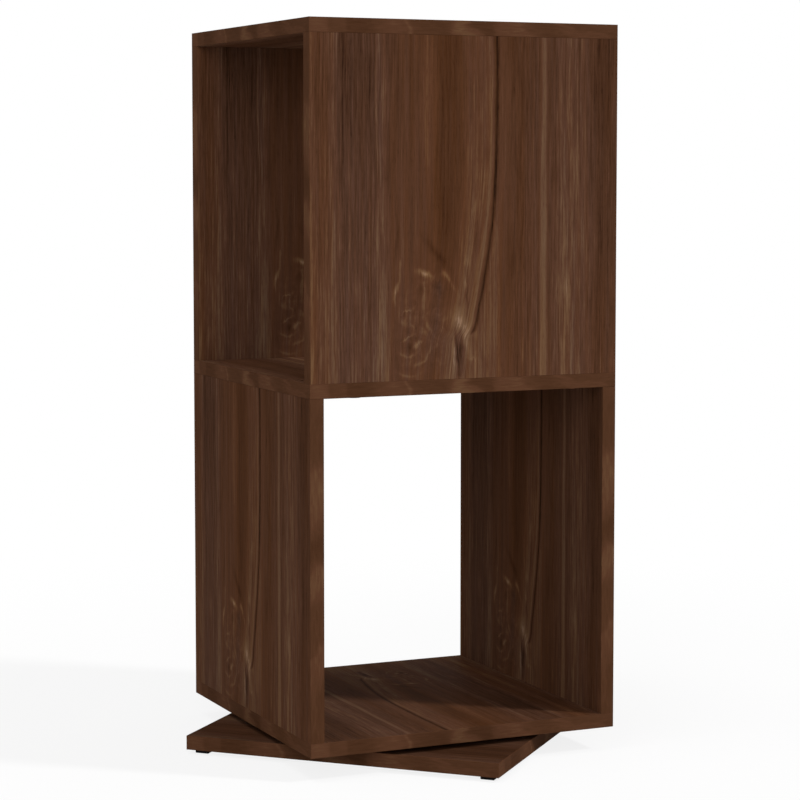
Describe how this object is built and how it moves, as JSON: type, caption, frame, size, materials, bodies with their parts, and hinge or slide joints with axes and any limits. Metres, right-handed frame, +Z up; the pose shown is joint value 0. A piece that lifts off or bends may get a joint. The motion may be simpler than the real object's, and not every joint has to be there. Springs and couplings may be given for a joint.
{
  "type": "rotating display cabinet",
  "caption": "Free-standing square column of stacked open display bays, each open a quarter turn from the other, turning on a ball bearing over a square base plate.",
  "frame": {"origin": "on the turning axis at floor level, under the foot pads", "axes": "+Z up along the turning axis; the cabinet's upper closed front looks towards -Y and its lower closed left side towards -X; the base plate is turned 45 degrees to the cabinet at rest"},
  "size_m": [0.4874, 0.4874, 0.761],
  "materials": {
    "wood_board": "dark brown oak melamine foil on particle board, matt",
    "edge_band": "dark brown oak edge band, matt",
    "cover_foil": "self-adhesive dark brown oak foil",
    "black_pad": "black moulded pad",
    "zinc_steel": "zinc plated",
    "zinc_cast": "die-cast zinc",
    "ball_steel": "polished steel",
    "cage_plastic": "natural nylon",
    "beech": "raw beech"
  },
  "bodies": {
    "base": {"base_plate": "wood_board", "base_plate_edge_bands": "edge_band", "foot_pad_rear": "black_pad", "foot_pad_left": "black_pad", "foot_pad_front": "black_pad", "foot_pad_right": "black_pad", "foot_nails": "zinc_steel", "lower_bearing_plate": "zinc_steel", "lower_bearing_screws": "zinc_steel", "pivot_rivet": "zinc_steel"},
    "cage": {"ball_cage": "cage_plastic", "bearing_balls": "ball_steel"},
    "cabinet": {"upper_bearing_plate": "zinc_steel", "upper_bearing_screws": "zinc_steel", "bottom_panel": "wood_board", "bottom_panel_edge_bands": "edge_band", "lower_left_panel": "wood_board", "lower_left_edge_bands": "edge_band", "lower_right_panel": "wood_board", "lower_right_edge_bands": "edge_band", "middle_shelf": "wood_board", "middle_shelf_edge_bands": "edge_band", "upper_front_panel": "wood_board", "upper_front_edge_bands": "edge_band", "upper_back_panel": "wood_board", "upper_back_edge_bands": "edge_band", "top_panel": "wood_board", "top_panel_edge_bands": "edge_band", "bottom_joint_screws": "zinc_steel", "shelf_lower_screws": "zinc_steel", "shelf_upper_screws": "zinc_steel", "shelf_lower_covers": "cover_foil", "shelf_upper_covers": "cover_foil", "bottom_joint_dowels": "beech", "shelf_lower_dowels": "beech", "shelf_upper_dowels": "beech", "top_joint_dowels": "beech", "top_cam_bolts": "zinc_steel", "top_cam_locks": "zinc_cast", "top_cam_covers": "cover_foil"}
  },
  "joints": [
    {"name": "cabinet_spin", "type": "hinge", "parent": "base", "child": "cabinet", "pos_m": [0, 0, 0.025], "axis": [0, 0, 1], "continuous": true},
    {"name": "cage_spin", "type": "hinge", "parent": "base", "child": "cage", "pos_m": [0, 0, 0.02225], "axis": [0, 0, 1], "continuous": true}
  ],
  "couplings": [
    {"joint": "cage_spin", "follows": "cabinet_spin", "ratio": 0.5}
  ]
}
